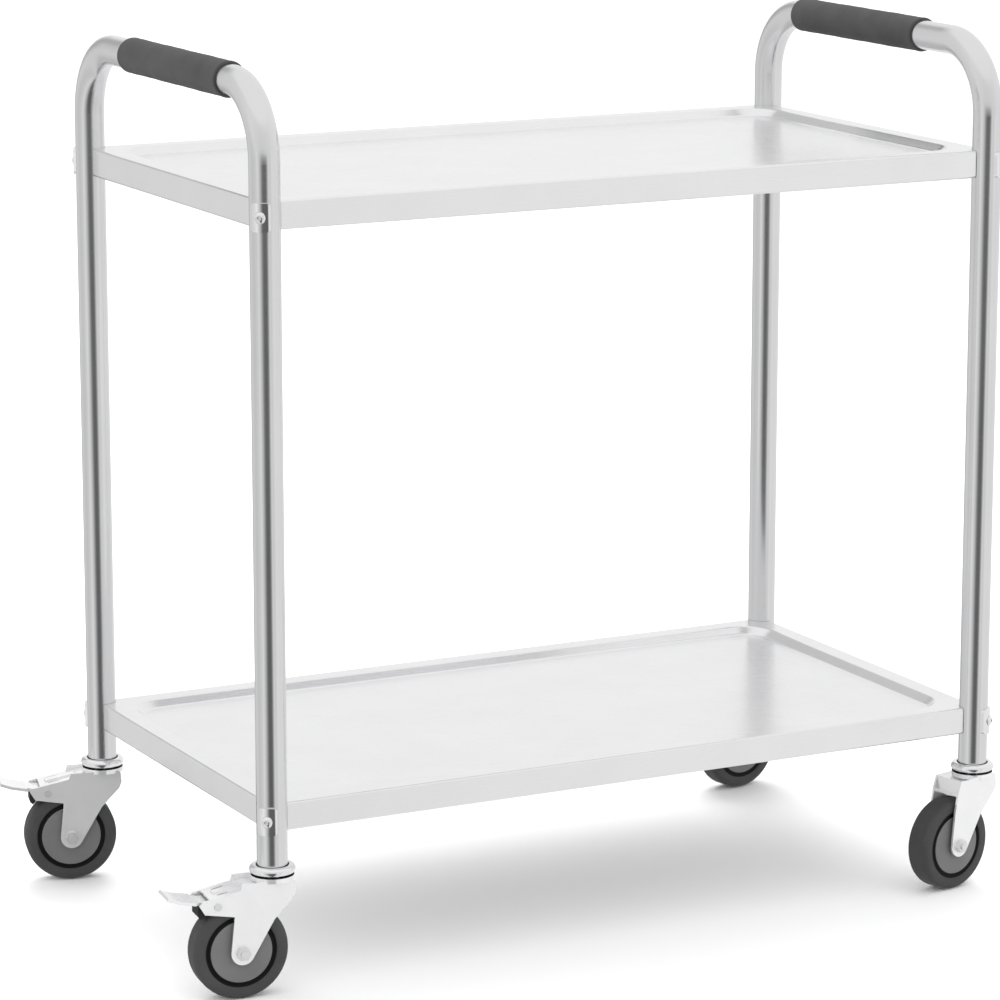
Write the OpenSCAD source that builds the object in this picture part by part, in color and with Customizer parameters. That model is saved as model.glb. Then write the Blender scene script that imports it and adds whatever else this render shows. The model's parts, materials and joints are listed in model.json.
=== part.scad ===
// Two-shelf wheeled instrument cart, millimetres.
// Floor at z = 0, length along X, width along Y, braked casters at the -X end.

/* [Frame] */
// Distance between leg axes along the length
leg_span_x = 854; // [500:1200]
// Distance between leg axes across the width
leg_span_y = 462; // [350:700]
// Outside diameter of the bent frame tube
tube_d = 32; // [25:38]
// Wall of the frame tube
tube_wall = 1.5; // [1:0.1:3]
// Height of the handle bar's centre line
handle_z = 934; // [850:1100]
// Centre-line bend radius of the frame tube
bend_r = 74; // [60:110]
// Height of the lower cut end of each leg
leg_foot_z = 135; // [100:200]

/* [Grips] */
// Outside diameter of the foam grip sleeve
grip_d = 38; // [34:44]
// Length of the foam grip sleeve
grip_len = 252; // [150:320]
// Distance of the left grip from the middle of its bar
left_grip_y = -22; // [-40:40]
// Distance of the right grip from the middle of its bar
right_grip_y = 26; // [-40:40]

/* [Shelves] */
// Height of the upper shelf's rim
top_shelf_z = 822; // [700:950]
// Height of the lower shelf's rim
bottom_shelf_z = 201; // [170:400]
// How far the shelf stands out past the leg axis
shelf_over = 4; // [0:10]
// Sheet thickness of the shelf
sheet_t = 1.2; // [0.8:0.1:2]
// Height of the shelf's turned-down skirt
skirt_h = 30; // [20:50]
// Width of the flat rim round the recess
rim_w = 23; // [15:40]
// Horizontal run of the recess's sloping wall
slope_w = 10; // [4:20]
// Depth of the recess
recess_d = 8; // [4:20]
// Corner radius of the recess at its floor
recess_r = 30; // [15:60]
// Outside bend radius of the skirt
bend_out_r = 3; // [2:6]
// Width of the return flange under the skirt
return_w = 12; // [6:20]

/* [Shelf fixings] */
// Thickness of the corner bracket
bracket_t = 2.5; // [2:4]
// Height of the corner bracket
bracket_h = 24; // [15:28]
// Thickness of the curved saddle washer
saddle_t = 2.6; // [1.5:4]
// Height of the curved saddle washer
saddle_h = 29; // [15:30]
// Chord width of the curved saddle washer
saddle_w = 22; // [16:30]
// Shelf bolt shank diameter
bolt_d = 6; // [5:8]
// Shelf bolt head diameter
head_d = 11.6; // [9:14]
// Angle of the shelf bolts from the length axis
bolt_angle = 50; // [40:60]

/* [Casters] */
// Wheel diameter
wheel_d = 102; // [75:125]
// Wheel width
wheel_w = 29; // [20:36]
// Horizontal offset of the axle from the stem
trail = 38; // [20:45]
// Width between the fork's side plates
fork_gap = 34; // [30:44]
// Fork sheet thickness
fork_t = 2.5; // [2:4]
// Rest angle of the front left caster about Z
angle_front_left = 173; // [0:360]
// Rest angle of the back left caster about Z
angle_back_left = 165; // [0:360]
// Rest angle of the front right caster about Z
angle_front_right = 194; // [0:360]
// Rest angle of the back right caster about Z
angle_back_right = 190; // [0:360]

/* [Hidden] */
hx = leg_span_x / 2;
hy = leg_span_y / 2;
tr = tube_d / 2;
ti = tr - tube_wall;
wr = wheel_d / 2;
ww = wheel_w / 2;
fy = fork_gap / 2;
fyo = fy + fork_t;
plate_z = 124.5;
plate_low = plate_z - fork_t;
cup_low = 128;
ring_r = 4.75;
ring_mid = 19.2;
race_h = 2.4;
run = 0.05;
sx_half = hx + shelf_over;
sy_half = hy + shelf_over;
wheel_axle_r = 4;
bush_r = 6;
brake_u = trail + 26;
brake_z = 103;
steel = [0.78, 0.79, 0.80];
bright = [0.86, 0.87, 0.88];
dark = [0.05, 0.05, 0.055];
foam = [0.2, 0.2, 0.21];
tread = [0.3, 0.3, 0.31];
disc = [0.42, 0.42, 0.43];

// A tube standing along Z
module pipe(ro, ri, h) {
  difference() {
    cylinder(r = ro, h = h, $fn = 96);
    translate([0, 0, -1]) cylinder(r = ri, h = h + 2, $fn = 96);
  }
}

// Direction of the shelf bolts at the leg whose signs are sx and sy
function bolt_way(sx, sy) = atan2(sy * sin(bolt_angle), sx * cos(bolt_angle));

// Puts children at one leg with the bolt's outward direction along +X
module at_leg(sx, sy, z) {
  translate([sx * hx, sy * hy, z])
    rotate([0, 0, bolt_way(sx, sy)]) children();
}

module at_legs(z) {
  for (sx = [-1, 1]) for (sy = [-1, 1]) at_leg(sx, sy, z) children();
}

// A rod along X from x0 to x1
module rod_x(r, x0, x1) {
  translate([x0, 0, 0]) rotate([0, 90, 0]) cylinder(r = r, h = x1 - x0, $fn = 48);
}

// A rod along Y from y0 to y1
module rod_y(r, y0, y1) {
  translate([0, y1, 0]) rotate([90, 0, 0]) cylinder(r = r, h = y1 - y0, $fn = 64);
}

// ---- bent frame tubes

module tube_bar(r, sy) {
  translate([0, sy * hy, leg_foot_z])
    cylinder(r = r, h = handle_z - bend_r - leg_foot_z, $fn = 96);
}

module tube_bend(ro, sy) {
  // the bend starts on the leg and ends on the handle bar
  translate([0, sy * (hy - bend_r), handle_z - bend_r])
    rotate([90, 0, sy > 0 ? 90 : -90])
      rotate_extrude(angle = 90, $fn = 96)
        translate([bend_r, 0]) circle(r = ro, $fn = 96);
}

module tube_across(r) {
  translate([0, 0, handle_z]) rod_y(r, -(hy - bend_r), hy - bend_r);
}

module u_solid(r) {
  for (sy = [-1, 1]) {
    tube_bar(r, sy);
    tube_bend(r, sy);
  }
  tube_across(r);
}

module frame_tube(sx) {
  translate([sx * hx, 0, 0])
    difference() {
      u_solid(tr);
      union() {
        u_solid(ti);
        for (sy = [-1, 1])
          translate([0, sy * hy, leg_foot_z - 5]) cylinder(r = ti, h = 10, $fn = 96);
      }
      for (sy = [-1, 1]) for (zt = [top_shelf_z, bottom_shelf_z])
        translate([0, sy * hy, zt - skirt_h / 2])
          rotate([0, 0, bolt_way(sx, sy)]) rod_x(bolt_d / 2 + 0.2, -tr - 4, tr + 4);
    }
}

module left_frame_tube() color(steel) frame_tube(-1);
module right_frame_tube() color(steel) frame_tube(1);

// ---- foam grips

module grip(sx, middle) {
  translate([sx * hx, middle, handle_z]) difference() {
    rod_y(grip_d / 2, -grip_len / 2, grip_len / 2);
    rod_y(tr, -grip_len / 2 - 1, grip_len / 2 + 1);
  }
}

module left_grip() color(foam) grip(-1, left_grip_y);
module right_grip() color(foam) grip(1, right_grip_y);

// ---- shelves

// Cross-section with two rounded top corners, top edge at y = 0
module bent_section(half, r, h) {
  translate([-half, -h]) square([2 * half, h - r]);
  translate([-half + r, -r - 0.01]) square([2 * half - 2 * r, r + 0.01]);
  translate([-half + r, -r]) circle(r = r, $fn = 48);
  translate([half - r, -r]) circle(r = r, $fn = 48);
}

module bent_box(ax, ay, r, h) {
  intersection() {
    translate([0, ay + 1, 0]) rotate([90, 0, 0])
      linear_extrude(2 * ay + 2) bent_section(ax, r, h);
    translate([-ax - 1, 0, 0]) rotate([90, 0, 90])
      linear_extrude(2 * ax + 2) bent_section(ay, r, h);
  }
}

// Sloping-walled recess, its mouth at z = 0 and drawn on upwards by lift
module recess(lift) {
  cx = sx_half - rim_w - slope_w - recess_r;
  cy = sy_half - rim_w - slope_w - recess_r;
  k = lift * slope_w / recess_d;
  side_x = cx + recess_r;
  side_y = cy + recess_r;
  for (sx = [-1, 1]) for (sy = [-1, 1])
    translate([sx * cx, sy * cy, -recess_d])
      cylinder(r1 = recess_r, r2 = recess_r + slope_w + k, h = recess_d + lift, $fn = 96);
  translate([0, cy, 0]) rotate([90, 0, 0]) linear_extrude(2 * cy)
    polygon([[-side_x, -recess_d], [side_x, -recess_d],
      [side_x + slope_w + k, lift], [-side_x - slope_w - k, lift]]);
  translate([-cx, 0, 0]) rotate([90, 0, 90]) linear_extrude(2 * cx)
    polygon([[-side_y, -recess_d], [side_y, -recess_d],
      [side_y + slope_w + k, lift], [-side_y - slope_w - k, lift]]);
}

module shelf_sheet() {
  difference() {
    bent_box(sx_half, sy_half, bend_out_r, skirt_h);
    difference() {
      translate([0, 0, -sheet_t])
        bent_box(sx_half - sheet_t, sy_half - sheet_t, bend_out_r - sheet_t,
          skirt_h - 2 * sheet_t);
      translate([0, 0, -sheet_t]) recess(0);
    }
    translate([0, 0, -skirt_h / 2 - 12])
      cube([2 * (sx_half - return_w), 2 * (sy_half - return_w), skirt_h], center = true);
    recess(1);
  }
}

module shelf(z) {
  translate([0, 0, z]) difference() {
    shelf_sheet();
    for (sx = [-1, 1]) for (sy = [-1, 1])
      translate([sx * hx, sy * hy, -skirt_h - 5])
        cylinder(r = tr + 0.5, h = skirt_h + 10, $fn = 96);
  }
}

module top_shelf() color(steel) shelf(top_shelf_z);
module bottom_shelf() color(steel) shelf(bottom_shelf_z);

// ---- shelf fixings, bolted parts drawn with the bolt pointing outwards along +X

// Plan of the bracket in the shelf's own directions: a saddle behind the tube and two ears
module bracket_plan() {
  in_face = shelf_over - sheet_t;
  ear_end = -46;
  difference() {
    union() {
      intersection() {
        circle(r = tr + bracket_t, $fn = 96);
        translate([-60, -60]) square([60 + in_face, 60 + in_face]);
      }
      translate([in_face - bracket_t, ear_end]) square([bracket_t, -17 - ear_end]);
      translate([ear_end, in_face - bracket_t]) square([-17 - ear_end, bracket_t]);
    }
    circle(r = tr, $fn = 96);
  }
}

module bracket_one(sx, sy) {
  ro = tr + bracket_t;
  translate([sx * hx, sy * hy, 0]) difference() {
    translate([0, 0, -skirt_h + 2]) rotate([0, 0, atan2(sy, sx) - 45])
      linear_extrude(bracket_h) bracket_plan();
    translate([0, 0, -skirt_h / 2]) rotate([0, 0, bolt_way(sx, sy)]) {
      rod_x(bolt_d / 2 + 0.3, -tr - 8, -tr + 8);
      rod_x(6.4, -tr - 8, -ro + 0.5);
    }
  }
}

module brackets(z) {
  for (sx = [-1, 1]) for (sy = [-1, 1]) translate([0, 0, z]) bracket_one(sx, sy);
}

module top_brackets() color(steel) brackets(top_shelf_z);
module bottom_brackets() color(steel) brackets(bottom_shelf_z);

module saddle_plate() {
  // rounded outline pushed along X
  c = 5;
  rotate([90, 0, 90]) linear_extrude(40) union() {
    square([saddle_w - 2 * c, saddle_h], center = true);
    square([saddle_w, saddle_h - 2 * c], center = true);
    for (sx = [-1, 1]) for (sy = [-1, 1])
      translate([sx * (saddle_w / 2 - c), sy * (saddle_h / 2 - c)]) circle(r = c, $fn = 32);
  }
}

module saddle_one() {
  translate([0, 0, -skirt_h / 2]) difference() {
    intersection() {
      translate([0, 0, -saddle_h]) pipe(tr + saddle_t, tr, 2 * saddle_h);
      saddle_plate();
    }
    rod_x(bolt_d / 2 + 0.3, tr - 8, tr + 8);
    rod_x(head_d / 2 + 0.4, tr + saddle_t - 0.7, tr + 8);
  }
}

module top_saddle_washers() color(bright) at_legs(top_shelf_z) saddle_one();
module bottom_saddle_washers() color(bright) at_legs(bottom_shelf_z) saddle_one();

// Domed head standing on z = 0, with a six-sided socket
module bolt_head() {
  edge_h = 1;
  dome_h = 2.6;
  ball_r = (head_d * head_d / 4 + dome_h * dome_h) / (2 * dome_h);
  difference() {
    rotate_extrude($fn = 64) union() {
      square([head_d / 2, edge_h]);
      intersection() {
        translate([0, edge_h + dome_h - ball_r]) circle(r = ball_r, $fn = 64);
        translate([0, edge_h / 2]) square([head_d / 2, dome_h + edge_h]);
      }
    }
    translate([0, 0, 1.2]) cylinder(r = 2.5, h = 6, $fn = 6);
  }
}

module bolt_one() {
  seat = tr + saddle_t - 0.7;
  translate([0, 0, -skirt_h / 2]) {
    rod_x(bolt_d / 2, -tr - 10, seat + 0.5);
    translate([seat, 0, 0]) rotate([0, 90, 0]) bolt_head();
  }
}

module top_bolts() color(bright) at_legs(top_shelf_z) bolt_one();
module bottom_bolts() color(bright) at_legs(bottom_shelf_z) bolt_one();

module nut_one() {
  seat = -tr - bracket_t + 0.5;
  translate([seat - 5, 0, -skirt_h / 2]) difference() {
    rotate([0, 90, 0]) cylinder(r = 5.77, h = 5, $fn = 6);
    rod_x(bolt_d / 2, -1, 6);
  }
}

module top_nuts() color(steel) at_legs(top_shelf_z) nut_one();
module bottom_nuts() color(steel) at_legs(bottom_shelf_z) nut_one();

// Plug in each leg, with a thin collar under the tube
module leg_insert() {
  translate([0, 0, leg_foot_z]) pipe(ti, 6, 42);
  translate([0, 0, leg_foot_z - 1.5]) pipe(17, 6, 1.5);
}

module leg_inserts() color(dark)
  for (sx = [-1, 1]) for (sy = [-1, 1])
    translate([sx * hx, sy * hy, 0]) leg_insert();

// ---- casters, drawn with the stem on the Z axis and the trail along +X

function leg_x(i) = (i < 2 ? -1 : 1) * hx;
function leg_y(i) = (i % 2 == 0 ? -1 : 1) * hy;
angles = [angle_front_left, angle_back_left, angle_front_right, angle_back_right];

module at_caster(i) {
  translate([leg_x(i), leg_y(i), 0]) rotate([0, 0, angles[i]]) children();
}

// Fixed stem with its cup, and the riveted head that holds the fork
module stem() {
  translate([0, 0, 117]) cylinder(r = 6, h = 60, $fn = 64);
  translate([0, 0, 117]) cylinder(r = 10, h = 4, $fn = 64);
  rotate_extrude($fn = 96) difference() {
    union() {
      translate([0, cup_low]) square([ring_mid, leg_foot_z - 1.5 - cup_low]);
      translate([ring_mid, cup_low + ring_r]) circle(r = ring_r, $fn = 64);
    }
    translate([0, leg_foot_z - 1.5]) square([17.3, 20]);
    translate([13.5, cup_low - 1]) square([6.3, 3.2]);
    translate([-10, cup_low - 5]) square([10, 30]);
  }
}

// Black dust seal lying on the fork's raised ring
module seal() {
  translate([0, 0, plate_z + race_h]) pipe(22.4, 20.2, 0.8);
}

module balls() {
  for (k = [0:11]) rotate([0, 0, 30 * k])
    translate([16.6, 0, plate_z + 2.6]) sphere(r = 2.6, $fn = 32);
}

// Side plate outline, x along the trail and y up
module side_leg(end_r) {
  polygon([[-18, plate_z - 3], [-18.8, 112], [-16, 105], [4, 84],
    [trail - end_r * 0.87, wr - end_r * 0.5], [trail, wr],
    [trail + end_r, wr], [trail + end_r - 4, 90], [trail + 4, 112], [trail, plate_z - 1]]);
  translate([trail, wr]) circle(r = end_r, $fn = 64);
  translate([-15, plate_z - 3]) circle(r = 3, $fn = 32);
  translate([-15, plate_z - 6]) square([trail + 15, 6]);
}

module side_braked() {
  side_leg(12.5);
  polygon([[0, plate_z], [18, 122.4], [trail + 42, 109.5], [trail + 45.5, 105],
    [trail + 40, 96], [trail + 8, 90.5], [trail + 4, 84], [12, 90]]);
}

module side_plates() {
  for (s = [0, 1]) translate([0, s * (fork_gap + fork_t) - fy, 0])
    rotate([90, 0, 0]) linear_extrude(fork_t) children();
}

module axle_hole() {
  translate([trail, 0, wr]) rod_y(wheel_axle_r, -fyo - 2, fyo + 2);
}

module top_plate(back) {
  translate([0, 0, plate_low]) difference() {
    union() {
      cylinder(r = 22.8, h = fork_t, $fn = 96);
      // raised ring round the ball race
      pipe(22.8, 19.8, fork_t + race_h);
      translate([-15, -fyo, 0]) cube([back + 15, 2 * fyo, fork_t]);
    }
    translate([0, 0, -1]) cylinder(r = 6 + run, h = 10, $fn = 64);
  }
}

module plain_fork() {
  difference() {
    union() {
      side_plates() side_leg(12.5);
      top_plate(trail);
      // bridge folded down behind the stem
      translate([trail - fork_t, -fyo, plate_z - 15]) cube([fork_t, 2 * fyo, 15]);
    }
    axle_hole();
  }
}

module braked_fork() {
  roof_end = trail + 34;
  difference() {
    union() {
      side_plates() side_braked();
      top_plate(20);
      // sloping roof of the brake housing
      translate([0, fyo, 0]) rotate([90, 0, 0]) linear_extrude(2 * fyo)
        polygon([[14, plate_z - 1.7], [18, 122.4], [roof_end, 111.2], [roof_end, 109.2],
          [18, 120]]);
      // raised bead on the roof
      translate([0, 5, 0]) rotate([90, 0, 0]) linear_extrude(10)
        polygon([[32, 118.5], [33, 121], [65, 114.3], [66, 111.6]]);
    }
    axle_hole();
    translate([brake_u, 0, brake_z]) rod_y(2.5, -fyo - 2, fyo + 2);
    // slots beside the bead
    for (s = [-1, 1]) translate([56, s * 10.5, 112])
      rotate([0, 12, 0]) cube([12, 2.4, 20], center = true);
  }
}

// Wheel axle bolt and its nut
module axle() {
  translate([trail, 0, wr]) {
    rod_y(wheel_axle_r, -fyo - 2, fyo + 7);
    intersection() {
      translate([0, -fyo - 5.2 + 13, 0]) sphere(r = 13, $fn = 64);
      rod_y(7.5, -fyo - 5.2, -fyo);
    }
    translate([0, fyo + 5, 0]) rotate([90, 0, 0]) difference() {
      cylinder(r = 7.5, h = 5, $fn = 6);
      translate([0, 0, -1]) cylinder(r = wheel_axle_r, h = 7, $fn = 64);
    }
  }
}

module bush() {
  translate([trail, 0, wr]) difference() {
    rod_y(bush_r, -fy, fy);
    rod_y(wheel_axle_r, -fy - 1, fy + 1);
  }
}

// Turns a half-section given as [radius, half-width] round the axle
module spun() {
  translate([trail, 0, wr]) rotate([90, 0, 0]) rotate_extrude($fn = 128) children();
}

module core() {
  spun() {
    translate([bush_r + run, -ww + 2.5]) square([7, 2 * ww - 5]);
    translate([bush_r + run + 6, -3]) square([22, 6]);
    translate([33, -ww + 0.7]) square([5, 2 * ww - 1.4]);
  }
}

module tyre() {
  r = 6.4;
  spun() {
    translate([38, -ww + r]) square([wr - 38, 2 * ww - 2 * r]);
    translate([38, -ww]) square([wr - 38 - r, 2 * ww]);
    for (s = [-1, 1]) translate([wr - r, s * (ww - r)]) circle(r = r, $fn = 64);
  }
}

module covers() {
  spun() for (s = [0, 1])
    translate([9, s * (2 * ww - 5 + 1.3) - ww + 2.5 - 1.3]) square([24, 1.3]);
}

// Foot pedal, hinged at the rear of the fork; its outline is drawn from the pivot
module pedal() {
  translate([brake_u, 0, brake_z]) difference() {
    union() {
      translate([0, 13, 0]) rotate([90, 0, 0]) linear_extrude(26) {
        circle(r = 5.2, $fn = 48);
        polygon([[-1, 5], [6, 4.6], [14, 4.4], [26, 7], [26, 4], [16, 0.6], [6, -4], [0, -5.1]]);
      }
      translate([0, 17, 0]) rotate([90, 0, 0]) linear_extrude(34)
        polygon([[22, 6.1], [40, 9.6], [51, 13.5], [53, 12.4], [52.4, 10.6],
          [41, 6.4], [23, 2.8], [22, 3]]);
    }
    rod_y(2.5 + run, -20, 20);
  }
}

// Brake shoe under the pedal, its face following the tread
module shoe() {
  translate([brake_u, 11, brake_z]) rotate([90, 0, 0]) linear_extrude(22)
    polygon([[6, -4], [6, -5.2], [12, -9.9], [16, -14], [19, -11], [19, 1.62], [16, 0.6]]);
}

module pin() {
  translate([brake_u, 0, brake_z]) {
    rod_y(2.5, -fyo - 1.2, fyo + 1.2);
    rod_y(4, fyo, fyo + 1.2);
    rod_y(4, -fyo - 1.2, -fyo);
  }
}

module front_left_stem() color(bright) at_caster(0) stem();
module front_left_seal() color(dark) at_caster(0) seal();
module front_left_balls() color(steel) at_caster(0) balls();
module front_left_fork() color(bright) at_caster(0) braked_fork();
module front_left_axle() color(bright) at_caster(0) axle();
module front_left_bush() color(steel) at_caster(0) bush();
module front_left_core() color(dark) at_caster(0) core();
module front_left_tyre() color(tread) at_caster(0) tyre();
module front_left_covers() color(disc) at_caster(0) covers();
module front_left_pedal() color(bright) at_caster(0) pedal();
module front_left_shoe() color(dark) at_caster(0) shoe();
module front_left_pin() color(steel) at_caster(0) pin();

module back_left_stem() color(bright) at_caster(1) stem();
module back_left_seal() color(dark) at_caster(1) seal();
module back_left_balls() color(steel) at_caster(1) balls();
module back_left_fork() color(bright) at_caster(1) braked_fork();
module back_left_axle() color(bright) at_caster(1) axle();
module back_left_bush() color(steel) at_caster(1) bush();
module back_left_core() color(dark) at_caster(1) core();
module back_left_tyre() color(tread) at_caster(1) tyre();
module back_left_covers() color(disc) at_caster(1) covers();
module back_left_pedal() color(bright) at_caster(1) pedal();
module back_left_shoe() color(dark) at_caster(1) shoe();
module back_left_pin() color(steel) at_caster(1) pin();

module front_right_stem() color(bright) at_caster(2) stem();
module front_right_seal() color(dark) at_caster(2) seal();
module front_right_balls() color(steel) at_caster(2) balls();
module front_right_fork() color(bright) at_caster(2) plain_fork();
module front_right_axle() color(bright) at_caster(2) axle();
module front_right_bush() color(steel) at_caster(2) bush();
module front_right_core() color(dark) at_caster(2) core();
module front_right_tyre() color(tread) at_caster(2) tyre();
module front_right_covers() color(disc) at_caster(2) covers();

module back_right_stem() color(bright) at_caster(3) stem();
module back_right_seal() color(dark) at_caster(3) seal();
module back_right_balls() color(steel) at_caster(3) balls();
module back_right_fork() color(bright) at_caster(3) plain_fork();
module back_right_axle() color(bright) at_caster(3) axle();
module back_right_bush() color(steel) at_caster(3) bush();
module back_right_core() color(dark) at_caster(3) core();
module back_right_tyre() color(tread) at_caster(3) tyre();
module back_right_covers() color(disc) at_caster(3) covers();

left_frame_tube();
right_frame_tube();
left_grip();
right_grip();
top_shelf();
bottom_shelf();
top_brackets();
bottom_brackets();
top_saddle_washers();
bottom_saddle_washers();
top_bolts();
bottom_bolts();
top_nuts();
bottom_nuts();
leg_inserts();
front_left_stem();
front_left_seal();
front_left_balls();
front_left_fork();
front_left_axle();
front_left_bush();
front_left_core();
front_left_tyre();
front_left_covers();
front_left_pedal();
front_left_shoe();
front_left_pin();
back_left_stem();
back_left_seal();
back_left_balls();
back_left_fork();
back_left_axle();
back_left_bush();
back_left_core();
back_left_tyre();
back_left_covers();
back_left_pedal();
back_left_shoe();
back_left_pin();
front_right_stem();
front_right_seal();
front_right_balls();
front_right_fork();
front_right_axle();
front_right_bush();
front_right_core();
front_right_tyre();
front_right_covers();
back_right_stem();
back_right_seal();
back_right_balls();
back_right_fork();
back_right_axle();
back_right_bush();
back_right_core();
back_right_tyre();
back_right_covers();
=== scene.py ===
"""Two-shelf stainless instrument cart.

Materials, pressed shelves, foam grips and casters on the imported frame, in a plain studio.
"""
import json
import math

import bmesh
import bpy
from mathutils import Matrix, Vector

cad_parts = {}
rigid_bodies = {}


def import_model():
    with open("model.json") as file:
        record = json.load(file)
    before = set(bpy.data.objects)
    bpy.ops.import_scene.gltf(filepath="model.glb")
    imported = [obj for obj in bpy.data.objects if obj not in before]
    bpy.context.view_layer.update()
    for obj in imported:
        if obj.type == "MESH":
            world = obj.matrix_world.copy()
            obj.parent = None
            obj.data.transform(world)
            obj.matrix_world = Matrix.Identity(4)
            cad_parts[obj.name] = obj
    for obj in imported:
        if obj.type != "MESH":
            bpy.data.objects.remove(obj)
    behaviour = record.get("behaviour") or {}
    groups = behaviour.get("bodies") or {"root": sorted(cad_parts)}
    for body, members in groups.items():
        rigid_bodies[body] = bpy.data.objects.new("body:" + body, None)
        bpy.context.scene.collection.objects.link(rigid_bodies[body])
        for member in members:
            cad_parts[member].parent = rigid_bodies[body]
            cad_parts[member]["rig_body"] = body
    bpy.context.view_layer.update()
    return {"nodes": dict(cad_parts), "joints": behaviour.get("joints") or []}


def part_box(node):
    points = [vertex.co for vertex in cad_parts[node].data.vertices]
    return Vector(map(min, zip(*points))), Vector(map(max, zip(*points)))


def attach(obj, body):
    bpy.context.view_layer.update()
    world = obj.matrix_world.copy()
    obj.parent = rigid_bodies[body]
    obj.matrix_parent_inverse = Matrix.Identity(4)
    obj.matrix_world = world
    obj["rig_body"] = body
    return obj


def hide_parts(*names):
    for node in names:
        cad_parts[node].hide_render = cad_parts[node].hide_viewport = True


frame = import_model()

MM = 0.001
NODES = frame["nodes"]
JOINTS = {joint["name"]: joint for joint in frame["joints"]}
CASTERS = ("front_left", "back_left", "front_right", "back_right")
BRAKED = ("front_left", "back_left")


# ---------------------------------------------------------------- materials

# the part of the noise's range that is stretched to the whole of a ramp
NOISE_LOW, NOISE_HIGH = 0.3, 0.7


def add_node(tree, kind, **attributes):
    made = tree.nodes.new(kind)
    for key, value in attributes.items():
        setattr(made, key, value)
    return made


class Shader:
    """A node material under construction, with one Principled shader."""

    def __init__(self, name, **settings):
        self.material = bpy.data.materials.new(name)
        self.material.use_nodes = True
        self.tree = self.material.node_tree
        self.principled = self.tree.nodes["Principled BSDF"]
        for socket, value in settings.items():
            self.principled.inputs[socket.replace("_", " ")].default_value = value
        self.position = self.node("ShaderNodeTexCoord").outputs["Object"]

    def node(self, kind, **attributes):
        return add_node(self.tree, kind, **attributes)

    def link(self, source, target):
        self.tree.links.new(source, target)

    def noise(self, stretch, scale, detail=3.0, rough=0.5):
        """Noise in metres, squeezed along each axis by stretch."""
        mapping = self.node("ShaderNodeMapping")
        mapping.inputs["Scale"].default_value = stretch
        self.link(self.position, mapping.inputs["Vector"])
        noise = self.node("ShaderNodeTexNoise")
        noise.inputs["Scale"].default_value = scale
        noise.inputs["Detail"].default_value = detail
        noise.inputs["Roughness"].default_value = rough
        self.link(mapping.outputs["Vector"], noise.inputs["Vector"])
        return noise.outputs["Fac"]

    def ramp(self, value, low, high):
        """Spreads the noise's usual range over low..high."""
        spread = self.node("ShaderNodeMapRange")
        spread.inputs["From Min"].default_value = NOISE_LOW
        spread.inputs["From Max"].default_value = NOISE_HIGH
        spread.inputs["To Min"].default_value = low
        spread.inputs["To Max"].default_value = high
        self.link(value, spread.inputs["Value"])
        return spread.outputs["Result"]

    def vary_rough(self, value, low, high):
        self.link(self.ramp(value, low, high), self.principled.inputs["Roughness"])

    def vary_colour(self, value, dark, light):
        blend = self.node("ShaderNodeMix", data_type="RGBA")
        blend.inputs["A"].default_value = (*dark, 1)
        blend.inputs["B"].default_value = (*light, 1)
        self.link(self.ramp(value, 0.0, 1.0), blend.inputs["Factor"])
        self.link(blend.outputs["Result"], self.principled.inputs["Base Color"])

    def bump(self, value, strength, distance):
        bump = self.node("ShaderNodeBump")
        bump.inputs["Strength"].default_value = strength
        bump.inputs["Distance"].default_value = distance
        self.link(value, bump.inputs["Height"])
        self.link(bump.outputs["Normal"], self.principled.inputs["Normal"])


def brushed(name, along, colour, rough, depth):
    """Brushed steel whose fine lines run along one axis, 'X', 'Y' or 'Z'."""
    stretch = [1.0, 1.0, 1.0]
    stretch["XYZ".index(along)] = 0.012
    shader = Shader(name, Metallic=1.0)
    lines = shader.noise(stretch, 2600.0, 4.0, 0.6)
    cloud = shader.noise((1, 1, 1), 14.0, 2.0)
    shader.vary_colour(cloud, [c * 0.97 for c in colour], colour)
    shader.vary_rough(lines, rough * 0.75, rough * 1.25)
    shader.bump(lines, depth, 0.00002)
    return shader.material


def turned(name, colour, rough):
    """Polished tube, its belt marks running round it, so that they are fine along Z."""
    shader = Shader(name, Metallic=1.0)
    marks = shader.noise((0.02, 0.02, 1.0), 3000.0, 3.0, 0.6)
    cloud = shader.noise((1, 1, 1), 9.0, 2.0)
    shader.vary_colour(cloud, [c * 0.96 for c in colour], colour)
    shader.vary_rough(marks, rough * 0.85, rough * 1.2)
    shader.bump(marks, 0.05, 0.00001)
    return shader.material


def plated(name, colour, rough, metallic=1.0, coat=0.0):
    """Zinc or chrome plate over pressed steel."""
    shader = Shader(name, Metallic=metallic, Coat_Weight=coat, Coat_Roughness=0.12)
    ripple = shader.noise((1, 1, 1), 60.0, 3.0)
    shader.vary_colour(ripple, [c * 0.96 for c in colour], colour)
    shader.vary_rough(ripple, rough * 0.9, rough * 1.15)
    shader.bump(shader.noise((1, 1, 1), 90.0, 1.0), 0.02, 0.0001)
    return shader.material


def plastic(name, dark, light, rough, grain, depth, specular=0.5):
    """Moulded plastic or rubber with a fine grain."""
    shader = Shader(name, Roughness=rough, Specular_IOR_Level=specular)
    speck = shader.noise((1, 1, 1), grain, 4.0, 0.6)
    cloud = shader.noise((1, 1, 1), 25.0, 3.0)
    shader.vary_colour(cloud, dark, light)
    shader.vary_rough(speck, rough * 0.85, min(1.0, rough * 1.15))
    shader.bump(speck, depth, 0.0002)
    return shader.material


def grey(level):
    return [level, level, level * 1.01]


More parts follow.
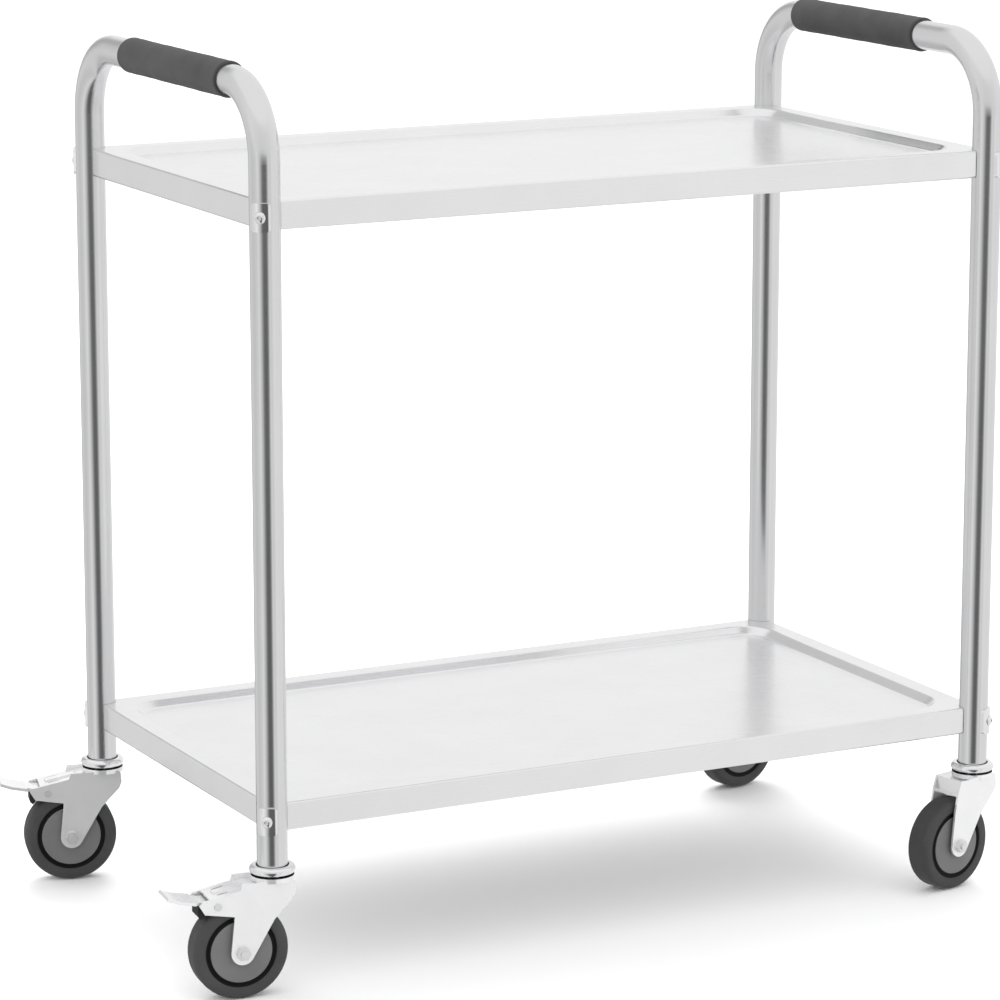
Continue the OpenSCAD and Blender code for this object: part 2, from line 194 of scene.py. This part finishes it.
TUBE = turned("tube_satin_steel", grey(0.78), 0.19)
SHELF = brushed("shelf_brushed_steel", "X", grey(0.90), 0.24, 0.35)
ZINC = plated("bright_zinc", grey(0.87), 0.13, 0.65, 0.4)
CHROME = plated("polished_chrome", grey(0.90), 0.08)
HARDWARE = plated("plated_fasteners", grey(0.74), 0.24, 0.7)
FOAM = plastic("grip_foam", grey(0.052), grey(0.066), 0.95, 1400.0, 0.8)
BLACK = plastic("black_moulding", grey(0.002), grey(0.003), 0.6, 900.0, 0.15, 0.2)
TYRE = plastic("tyre_rubber", grey(0.040), grey(0.052), 0.66, 700.0, 0.3, 0.35)
COVER = plastic("cover_plastic", grey(0.125), grey(0.145), 0.5, 900.0, 0.2)
SHOE = plastic("shoe_rubber", grey(0.01), grey(0.015), 0.8, 700.0, 0.3)


# ---------------------------------------------------------------- mesh helpers

def new_object(name, verts, faces, material):
    mesh = bpy.data.meshes.new(name)
    mesh.from_pydata([tuple(v) for v in verts], [], faces)
    mesh.validate()
    mesh.materials.append(material)
    made = bpy.data.objects.new(name, mesh)
    bpy.context.scene.collection.objects.link(made)
    return made


def settle(made):
    """Applies the object's modifiers, so that its mesh is its final shape."""
    graph = bpy.context.evaluated_depsgraph_get()
    final = bpy.data.meshes.new_from_object(made.evaluated_get(graph))
    made.modifiers.clear()
    made.data = final
    return made


def smooth(made, degrees=35.0):
    """Smooth shading with large faces kept flat and sharp edges kept sharp."""
    mesh = made.data
    mesh.shade_smooth()
    mesh.set_sharp_from_angle(angle=math.radians(degrees))
    weighted = made.modifiers.new("weighted", "WEIGHTED_NORMAL")
    weighted.keep_sharp = True
    weighted.weight = 80
    return settle(made)


def finish_piece(made, body, slot, *nodes):
    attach(made, body)
    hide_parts(*nodes)
    return made


def softened(node, width, material, slot, segments=2, sharp=28.0):
    """The CAD node's own shape with its hard edges rolled over."""
    source = NODES[node].data
    bm = bmesh.new()
    bm.from_mesh(source)
    bmesh.ops.remove_doubles(bm, verts=bm.verts, dist=1e-5)
    bmesh.ops.dissolve_limit(bm, angle_limit=math.radians(1.0), verts=bm.verts, edges=bm.edges)
    bmesh.ops.recalc_face_normals(bm, faces=bm.faces)
    bm.verts.ensure_lookup_table()
    verts = [v.co.copy() for v in bm.verts]
    faces = [[v.index for v in f.verts] for f in bm.faces]
    bm.free()
    made = new_object(node + "_piece", verts, faces, material)
    bevel = made.modifiers.new("bevel", "BEVEL")
    bevel.width = width
    bevel.segments = segments
    bevel.limit_method = "ANGLE"
    bevel.angle_limit = math.radians(sharp)
    bevel.use_clamp_overlap = True
    settle(made)
    smooth(made)
    return finish_piece(made, NODES[node]["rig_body"], slot, node)


def arc(cx, cy, r, start, end, steps):
    """Points on an arc, in degrees, the ends among them."""
    angles = [math.radians(start + (end - start) * i / steps) for i in range(steps + 1)]
    return [(cx + r * math.cos(a), cy + r * math.sin(a)) for a in angles]


def lathe(name, profile, centre, axis, material, steps=128):
    """Turns a closed profile of (radius, distance along the axis) round the axis."""
    turn = Vector(axis).to_track_quat("Z", "Y").to_matrix()
    centre = Vector(centre)
    verts = []
    for i in range(steps):
        a = 2 * math.pi * i / steps
        ray = Vector((math.cos(a), math.sin(a), 0))
        verts += [centre + turn @ (ray * r + Vector((0, 0, along))) for r, along in profile]
    n = len(profile)
    faces = []
    for i in range(steps):
        here, there = i * n, (i + 1) % steps * n
        for k in range(n):
            j = (k + 1) % n
            faces.append([here + k, there + k, there + j, here + j])
    made = new_object(name, verts, faces, material)
    bm = bmesh.new()
    bm.from_mesh(made.data)
    bmesh.ops.recalc_face_normals(bm, faces=bm.faces)
    bm.to_mesh(made.data)
    bm.free()
    return smooth(made)


# ---------------------------------------------------------------- pressed shelves

RIM = 23 * MM
SLOPE = 10 * MM
DEPTH = 8 * MM
FLOOR_CORNER = 30 * MM
SKIRT_BEND = 3 * MM
SHEET = 1.2 * MM
FLANGE = 12 * MM
PRESS_FILLET = 6 * MM
FLOOR_LEAD = 14 * MM
TUBE_RADIUS = 16 * MM
SHELF_OVER = 4 * MM
# the cutter that clears each corner for its tube
NOTCH_ROOM = 0.5 * MM
NOTCH_DROP = 15 * MM
NOTCH_LENGTH = 60 * MM


def rounded_outline(hx, hy, r, corner_steps=14, side_steps=10):
    """A rounded rectangle with the same number of points whatever its size."""
    points = []
    corners = ((1, 1, 0), (-1, 1, 90), (-1, -1, 180), (1, -1, 270))
    for i, (sx, sy, start) in enumerate(corners):
        here = arc(sx * (hx - r), sy * (hy - r), r, start, start + 90, corner_steps)
        nx, ny, nstart = corners[(i + 1) % 4]
        after = arc(nx * (hx - r), ny * (hy - r), r, nstart, nstart + 90, 1)[0]
        points += here
        x0, y0 = here[-1]
        for k in range(1, side_steps):
            t = k / side_steps
            points.append((x0 + (after[0] - x0) * t, y0 + (after[1] - y0) * t))
    return points


def shelf_profile(skirt):
    """(inset, height, corner radius) from the return flange's lip to the recess floor."""
    lean = math.atan2(DEPTH, SLOPE)
    lean_deg = math.degrees(lean)
    reach = PRESS_FILLET * math.tan(lean / 2)
    mouth = RIM - reach
    foot = RIM + SLOPE + reach
    rows = [(FLANGE, -skirt, SKIRT_BEND)]
    rows += [(x, z, SKIRT_BEND) for x, z in
             arc(SKIRT_BEND, -skirt + SKIRT_BEND, SKIRT_BEND, 270, 180, 5)]
    rows += [(x, z, SKIRT_BEND) for x, z in
             arc(SKIRT_BEND, -SKIRT_BEND, SKIRT_BEND, 180, 90, 6)]
    mouth_corner = FLOOR_CORNER + SLOPE
    rows += [(x, z, mouth_corner + RIM - x) for x, z in
             arc(mouth, -PRESS_FILLET, PRESS_FILLET, 90, 90 - lean_deg, 6)]
    rows += [(x, z, mouth_corner + RIM - x) for x, z in
             arc(foot, -DEPTH + PRESS_FILLET, PRESS_FILLET, 270 - lean_deg, 270, 6)]
    rows.append((foot + FLOOR_LEAD, -DEPTH, FLOOR_CORNER * 0.6))
    return rows


def pressed_shelf(node):
    """One folded sheet with a recessed tray, notched round the four tubes."""
    low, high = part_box(node)
    half_x, half_y = high.x, high.y
    rows = shelf_profile(high.z - low.z)
    verts = []
    for inset, z, corner in rows:
        ring = rounded_outline(half_x - inset, half_y - inset, corner)
        verts += [(x, y, high.z + z) for x, y in ring]
    n = len(verts) // len(rows)
    faces = []
    for i in range(len(rows) - 1):
        for k in range(n):
            j = (k + 1) % n
            faces.append([i * n + k, i * n + j, (i + 1) * n + j, (i + 1) * n + k])
    faces.append([(len(rows) - 1) * n + k for k in range(n)])
    made = new_object(node + "_sheet", verts, faces, SHELF)
    solid = made.modifiers.new("sheet", "SOLIDIFY")
    solid.thickness = SHEET
    solid.offset = -1
    solid.use_even_offset = True
    cutters = []
    for sx in (-1, 1):
        for sy in (-1, 1):
            at = (sx * (half_x - SHELF_OVER), sy * (half_y - SHELF_OVER), high.z - NOTCH_DROP)
            bpy.ops.mesh.primitive_cylinder_add(vertices=96, radius=TUBE_RADIUS + NOTCH_ROOM,
                                                depth=NOTCH_LENGTH, location=at)
            cutter = bpy.context.object
            cutters.append(cutter)
            notch = made.modifiers.new("notch", "BOOLEAN")
            notch.object = cutter
            notch.solver = "EXACT"
    settle(made)
    for cutter in cutters:
        bpy.data.objects.remove(cutter)
    smooth(made, 30.0)
    return finish_piece(made, "frame", "shelf_steel", node)


# ---------------------------------------------------------------- foam grips

FOAM_ROOM = 0.1 * MM
FOAM_BORE_ROOM = 0.15 * MM
FOAM_LIP = 1.6 * MM
FOAM_ROWS = 60


def foam_grip(node):
    """A foam sleeve with soft cut ends, very slightly uneven along its length."""
    low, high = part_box(node)
    outer = (high.z - low.z) / 2 - FOAM_ROOM
    inner = TUBE_RADIUS + FOAM_BORE_ROOM
    half = (high.y - low.y) / 2
    profile = arc(outer - FOAM_LIP, half - FOAM_LIP, FOAM_LIP, 90, 0, 5)
    for i in range(1, FOAM_ROWS):
        y = (half - FOAM_LIP) * (1 - 2 * i / FOAM_ROWS)
        wave = 0.12 * MM * math.sin(9.0 * y / half) + 0.08 * MM * math.sin(23.0 * y / half + 1)
        profile.append((outer - 0.2 * MM + wave, y))
    profile += arc(outer - FOAM_LIP, -half + FOAM_LIP, FOAM_LIP, 0, -90, 5)
    profile += [(inner, -half), (inner, half)]
    centre = (low + high) / 2
    made = lathe(node + "_foam", profile, centre, (0, 1, 0), FOAM, 96)
    return finish_piece(made, "frame", "grip_foam", node)


# ---------------------------------------------------------------- casters

WHEEL_RADIUS = 51 * MM
WHEEL_HALF = 14.5 * MM
TYRE_SHOULDER = 6.4 * MM
GUARD_FACE = 13.6 * MM
GUARD_BACK = 12.1 * MM


def both_halves(half):
    """A wheel profile and its mirror image across the wheel's middle plane."""
    return half + [(r, -y) for r, y in reversed(half)]


def tyre(name, centre, axis):
    """Rounded tread with a faint parting line and a lip where it meets the core."""
    half = [(38 * MM, WHEEL_HALF - 1.4 * MM), (39.2 * MM, WHEEL_HALF - 0.3 * MM),
            (40.4 * MM, WHEEL_HALF)]
    half += arc(WHEEL_RADIUS - TYRE_SHOULDER, WHEEL_HALF - TYRE_SHOULDER, TYRE_SHOULDER, 90, 0, 14)
    half += [(WHEEL_RADIUS, 0.8 * MM), (WHEEL_RADIUS - 0.12 * MM, 0.3 * MM)]
    made = lathe(name + "_tyre_tread", both_halves(half), centre, axis, TYRE, 160)
    return finish_piece(made, name + "_wheel", "tyre_grey", name + "_tyre")


def core(name, centre, axis):
    """Black wheel centre: hub, web and the rim that shows as a dark ring."""
    half = [(6.05 * MM, 12 * MM), (13 * MM, 12 * MM), (14 * MM, 10 * MM), (15 * MM, 4 * MM),
            (17 * MM, 3 * MM), (31 * MM, 3 * MM), (33 * MM, 5 * MM), (33 * MM, 12.9 * MM),
            (34 * MM, 13.2 * MM), (36 * MM, 12.2 * MM), (37.4 * MM, 13.1 * MM),
            (38 * MM, 13.0 * MM)]
    made = lathe(name + "_wheel_core", both_halves(half), centre, axis, BLACK, 128)
    return finish_piece(made, name + "_wheel", "black_plastic", name + "_core")


def covers(name, centre, axis):
    """Thin dished thread guards, one each side, joined as one piece."""
    discs = []
    for side in (-1, 1):
        profile = [(9 * MM, GUARD_BACK), (32.9 * MM, GUARD_BACK)]
        profile += arc(32.2 * MM, GUARD_FACE - 0.7 * MM, 0.7 * MM, 0, 90, 5)
        profile += [(31.0 * MM, GUARD_FACE), (30.2 * MM, GUARD_FACE - 0.25 * MM),
                    (13 * MM, GUARD_FACE - 0.25 * MM), (12 * MM, GUARD_FACE),
                    (9.4 * MM, GUARD_FACE), (9 * MM, GUARD_FACE - 0.4 * MM)]
        profile = [(r, side * y) for r, y in profile]
        discs.append(lathe(f"{name}_guard_{side}", profile, centre, axis, COVER, 96))
    pair = join(discs, name + "_thread_guards")
    return finish_piece(pair, name + "_wheel", "cover_grey", name + "_covers")


def join(objects, name):
    """Several meshes as one object."""
    bpy.ops.object.select_all(action="DESELECT")
    for each in objects:
        each.select_set(True)
    bpy.context.view_layer.objects.active = objects[0]
    bpy.ops.object.join()
    objects[0].name = name
    return objects[0]


def caster(name):
    """One swivel caster: its wheel, its pressed plates and the finish of its other parts."""
    spin = JOINTS[name + "_wheel_spin"]
    centre, axis = spin["pos_m"], spin["axis"]
    tyre(name, centre, axis)
    core(name, centre, axis)
    covers(name, centre, axis)
    softened(name + "_fork", 0.7 * MM, ZINC, "bright_plate", 3)
    softened(name + "_axle", 0.5 * MM, HARDWARE, "hardware_steel")
    if name in BRAKED:
        softened(name + "_pedal", 0.7 * MM, ZINC, "bright_plate", 3)
    for part, material in (("stem", CHROME), ("seal", BLACK), ("balls", CHROME),
                           ("bush", HARDWARE), ("shoe", SHOE), ("pin", HARDWARE)):
        paint(f"{name}_{part}", material)


def paint(node, material):
    """A CAD node that keeps its shape gets its material."""
    if node in NODES:
        mesh = NODES[node].data
        mesh.materials.clear()
        mesh.materials.append(material)


# ---------------------------------------------------------------- assembly

for name in ("left_frame_tube", "right_frame_tube"):
    paint(name, TUBE)
paint("leg_inserts", BLACK)
for tier in ("top", "bottom"):
    pressed_shelf(tier + "_shelf")
    paint(tier + "_brackets", SHELF)
    softened(tier + "_saddle_washers", 0.5 * MM, CHROME, "bright_plate")
    softened(tier + "_bolts", 0.25 * MM, CHROME, "hardware_steel")
    softened(tier + "_nuts", 0.4 * MM, HARDWARE, "hardware_steel")
for side in ("left", "right"):
    foam_grip(side + "_grip")
for name in CASTERS:
    caster(name)


# ---------------------------------------------------------------- stage, light and camera

FLOOR_RADIUS = 14.0
FLOOR_DROP = 0.0002
FLOOR_GREY = 0.94

# brightness that lights everything, though only the cards below are mirrored
FILL_STRENGTH = 1.42
# sines of the elevations between which one layer of cards melts into the next
LOW_TO_MIDDLE = (-0.06, 0.10)
MIDDLE_TO_CEILING = (0.50, 0.75)
KEY_AT, KEY_SIZE, KEY_WATTS = (0.9, 2.7, 2.8), 2.8, 78.0

CAMERA_AT = (-2.155, -4.099, 1.4244)
CAMERA_LENS = 154.73
# degrees from +Y towards +X, and down from the horizontal
CAMERA_BEARING, CAMERA_DIP = 27.23, 12.09

def floor():
    bpy.ops.mesh.primitive_circle_add(vertices=128, radius=FLOOR_RADIUS, fill_type="NGON",
                                      location=(0, 0, -FLOOR_DROP))
    ground = bpy.context.object
    ground.name = "floor"
    shader = Shader("floor_paper", Roughness=1.0)
    shader.principled.inputs["Base Color"].default_value = (FLOOR_GREY, FLOOR_GREY, FLOOR_GREY, 1)
    shader.principled.inputs["Specular IOR Level"].default_value = 0.0
    ground.data.materials.append(shader.material)
    ground.visible_glossy = False


def studio():
    """A white studio whose darker cards stand round the cart at fixed bearings."""
    world = bpy.data.worlds.new("studio")
    bpy.context.scene.world = world
    world.use_nodes = True
    tree = world.node_tree
    tree.nodes.clear()

    def node(kind, **attributes):
        return add_node(tree, kind, **attributes)

    direction = node("ShaderNodeTexCoord").outputs["Generated"]
    split = node("ShaderNodeSeparateXYZ")
    tree.links.new(direction, split.inputs["Vector"])
    minus_y = node("ShaderNodeMath", operation="MULTIPLY")
    minus_y.inputs[1].default_value = -1.0
    tree.links.new(split.outputs["Y"], minus_y.inputs[0])
    bearing = node("ShaderNodeMath", operation="ARCTAN2")
    tree.links.new(split.outputs["X"], bearing.inputs[0])
    tree.links.new(minus_y.outputs[0], bearing.inputs[1])
    turn = node("ShaderNodeMapRange")
    turn.inputs["From Min"].default_value = -math.pi
    turn.inputs["From Max"].default_value = math.pi
    tree.links.new(bearing.outputs[0], turn.inputs["Value"])

    def ring(stops):
        """Cards all the way round, as (bearing in degrees from -Y towards +X, brightness)."""
        cards = node("ShaderNodeValToRGB")
        ramp = cards.color_ramp
        while len(ramp.elements) < len(stops):
            ramp.elements.new(0.5)
        for element, (degrees, level) in zip(ramp.elements, stops):
            element.position = (degrees + 180) / 360
            element.color = (level, level, level, 1)
        tree.links.new(turn.outputs["Result"], cards.inputs["Fac"])
        return cards.outputs["Color"]

    def stacked(lower, upper, low, high):
        """One layer of light over another, melting together between two heights."""
        climb = node("ShaderNodeMapRange", interpolation_type="SMOOTHSTEP")
        climb.inputs["From Min"].default_value = low
        climb.inputs["From Max"].default_value = high
        tree.links.new(split.outputs["Z"], climb.inputs["Value"])
        blend = node("ShaderNodeMix", data_type="RGBA")
        tree.links.new(climb.outputs["Result"], blend.inputs["Factor"])
        tree.links.new(lower, blend.inputs["A"])
        tree.links.new(upper, blend.inputs["B"])
        return blend.outputs["Result"]

    # tubes mirror the lowest ring, shelves the middle one
    low_ring = ring(((-180, 0.58), (-170, 0.56), (-160, 0.72), (-150, 0.78), (-118, 0.67),
                     (-88, 0.76), (-77, 0.92), (-66, 0.74), (-56, 0.58), (-45, 0.28),
                     (-38, 0.13), (-13, 0.11), (-4, 0.45), (3, 0.88), (15, 0.70), (30, 0.91),
                     (50, 0.86), (100, 0.88), (165, 0.93), (180, 0.58)))
    middle_ring = ring(((-180, 0.46), (-170, 0.46), (-155, 0.74), (-100, 0.84), (-40, 0.76),
                        (0, 0.78), (60, 0.88), (120, 0.93), (165, 0.92), (180, 0.46)))
    ceiling = ring(((-180, 0.92), (180, 0.92)))
    light = stacked(stacked(low_ring, middle_ring, *LOW_TO_MIDDLE), ceiling, *MIDDLE_TO_CEILING)
    path = node("ShaderNodeLightPath")
    mirrored = node("ShaderNodeBackground")
    mirrored.inputs["Strength"].default_value = 1.0
    tree.links.new(light, mirrored.inputs["Color"])
    plain = node("ShaderNodeBackground")
    plain.inputs["Color"].default_value = (1, 1, 1, 1)
    plain.inputs["Strength"].default_value = FILL_STRENGTH
    choose = node("ShaderNodeMixShader")
    tree.links.new(path.outputs["Is Glossy Ray"], choose.inputs["Fac"])
    tree.links.new(plain.outputs[0], choose.inputs[1])
    tree.links.new(mirrored.outputs[0], choose.inputs[2])
    tree.links.new(choose.outputs[0], node("ShaderNodeOutputWorld").inputs["Surface"])


def soft_light(name, at, size, watts):
    """A round lamp aimed at the origin, not seen in reflections."""
    data = bpy.data.lights.new(name, "AREA")
    data.shape = "DISK"
    data.size = size
    data.energy = watts
    lamp = bpy.data.objects.new(name, data)
    lamp.location = at
    lamp.rotation_euler = (-Vector(at)).to_track_quat("-Z", "Y").to_euler()
    bpy.context.scene.collection.objects.link(lamp)
    lamp.visible_glossy = False


def camera():
    """Looks down on the near left corner through a long lens."""
    data = bpy.data.cameras.new("camera")
    data.sensor_width = 36.0
    data.lens = CAMERA_LENS
    data.clip_end = 100.0
    view = bpy.data.objects.new("camera", data)
    bearing = math.radians(CAMERA_BEARING)
    dip = math.radians(CAMERA_DIP)
    aim = Vector((math.sin(bearing) * math.cos(dip), math.cos(bearing) * math.cos(dip),
                  -math.sin(dip)))
    view.location = CAMERA_AT
    view.rotation_mode = "QUATERNION"
    view.rotation_quaternion = aim.to_track_quat("-Z", "Y")
    bpy.context.scene.collection.objects.link(view)
    bpy.context.scene.camera = view


floor()
studio()
soft_light("key", KEY_AT, KEY_SIZE, KEY_WATTS)
camera()
bpy.context.scene.view_settings.view_transform = "Standard"
